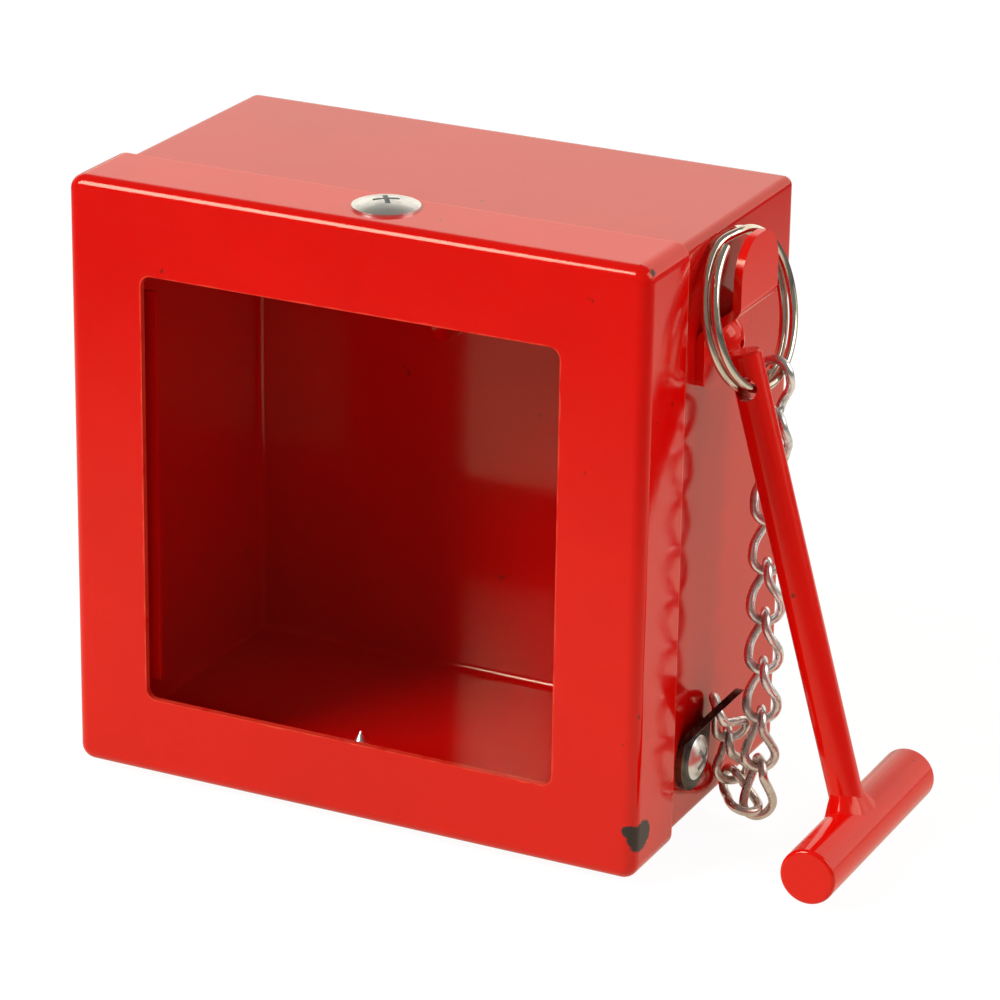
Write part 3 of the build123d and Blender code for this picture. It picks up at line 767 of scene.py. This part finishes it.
def way_of(bearing, rise):
    """Unit vector at a bearing from +X and a rise above the level, in degrees."""
    level = math.cos(math.radians(rise))
    return np.array([
        level * math.cos(math.radians(bearing)),
        level * math.sin(math.radians(bearing)),
        math.sin(math.radians(rise)),
    ])


down_chain = (LOWEST - RING_SEAT) / np.linalg.norm(LOWEST - RING_SEAT)
hangs = []
for step, yaw in enumerate(YAWS):
    top = RING_SEAT + down_chain * (step * LINK_PITCH - BOW_RADIUS + LINK_PLAY / 2)
    hangs.append((top, down_chain, BEARING + yaw))
for (off_wall, depth, above_foot), (bearing, rise), bow_bearing in reversed(SIDE_LINKS):
    top = np.array([SIDE_WALL_X + off_wall, FRONT_Y + depth, LUG_FOOT_Z + above_foot])
    hangs.append((top, way_of(bearing, rise), bow_bearing))
for number, (hang, waist) in enumerate(zip(hangs, WAISTS), start=1):
    line = place_link(link_line(*waist), *hang)
    surface = tube_round(line, wire_radius()) * MM
    name = f"chain_link_{number:02d}"
    link = place_on_grid(f"twisted_link_{number:02d}", surface, chain, f"link_{number:02d}")
    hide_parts(name)
    low, high = (np.array(c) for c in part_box(name))
    past_low = low / MM - (line.min(axis=0) - LINK_WIRE / 2)
    past_high = line.max(axis=0) + LINK_WIRE / 2 - high / MM
    past = np.maximum(past_low, past_high).round(2).tolist()
    print(name, "goes past its solid's box by", past, "mm")

# %% [markdown]
# Bead of weld
# The handle is coped to the head and welded all round by hand. A hand-laid
# bead is a row of overlapping puddles, so its edge and its height go up and
# down as it runs round the rod. The plain collar in the solid model stands for
# it in physics. Here a closed surface takes its place: one parameter runs
# round the rod, and the other goes down the bead and back inside the metal.

# %% Weld
ROD_RADIUS = 3.0          # millimetres, like the rest of this list
BEAD_WIDTH = 1.25         # on the head, beside the rod
BEAD_WIDER = 1.15         # more where the head runs on, along its length
BEAD_HEIGHT = 2.5         # on the rod
BELLY = 0.55              # how far the bead bulges between its two edges
SUNK = 0.15               # how far the bead's upper edge lies under the rod's surface
CORE_OUT, CORE_IN = 0.6, -0.9     # where the surface runs back inside, from the rod's surface
CORE_DEEP = 0.9           # how far below the head's surface it does
PUDDLES = 7               # once round the rod

hole_joint = next(j for j in frame["joints"] if j["name"] == "hammer_swing")
hole = np.array(hole_joint["pos_m"])
head_low, head_high = (np.array(c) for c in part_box("hammer_head"))
head_middle = np.array([
    (head_low[0] + head_high[0]) / 2,
    hole[1],
    (head_low[2] + head_high[2]) / 2,
])
head_radius = (head_high[2] - head_low[2]) / 2
rod_radius = ROD_RADIUS * MM
down = (head_middle - hole) / np.linalg.norm(head_middle - hole)
along = np.array([0.0, 1.0, 0.0])
along = along - down * (along @ down)
along /= np.linalg.norm(along)
across = np.cross(down, along)


def weld_bead(steps_round=220, steps_down=20):
    """Points of the bead. Round the rod by angle u; down the bead by v from the rod (0) to the
    head (1). Distance from the rod's axis grows from the rod's radius by v times the bead's
    width. The height over the head falls with (1 - v) to the power 1.7. The puddles make both
    ripple, and slow waves make them uneven."""
    u = np.linspace(0, 2 * math.pi, steps_round, endpoint=False)[None, :]
    v = np.linspace(0, 1, steps_down)[:, None]
    puddle = 0.5 + 0.5 * np.sin(PUDDLES * u + 0.6 * np.sin(2 * u))
    uneven = 0.30 * np.sin(2 * u + 0.8) + 0.14 * np.sin(5 * u + 2.1)
    width = (BEAD_WIDTH + BEAD_WIDER * np.cos(u) ** 2 + 0.15 * puddle + 0.6 * uneven) * MM
    height = (BEAD_HEIGHT + 0.20 * puddle + 0.9 * uneven) * MM
    belly = BELLY * MM * np.sin(math.pi * v) * (0.75 + 0.25 * puddle)
    radius = rod_radius - SUNK * MM + width * v
    lift = height * (1 - v) ** 1.7 + belly - 0.10 * MM * v
    side = radius * np.sin(u)
    depth = -(np.sqrt(np.maximum(head_radius ** 2 - side ** 2, 0)) + lift)
    inner_radius = rod_radius + np.array([[CORE_OUT], [CORE_IN]]) * MM + 0 * u
    inner_side = inner_radius * np.sin(u)
    inner_depth = -(np.sqrt(head_radius ** 2 - inner_side ** 2) - CORE_DEEP * MM)
    radius = np.concatenate([radius, inner_radius])
    depth = np.concatenate([depth, inner_depth])
    out = (radius * np.cos(u))[..., None] * along + (radius * np.sin(u))[..., None] * across
    return head_middle + out + depth[..., None] * down


bead = place_on_grid("weld_bead", weld_bead(), bar_red, "hammer")
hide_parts("hammer_weld")
print("weld bead faces:", len(bead.data.polygons))
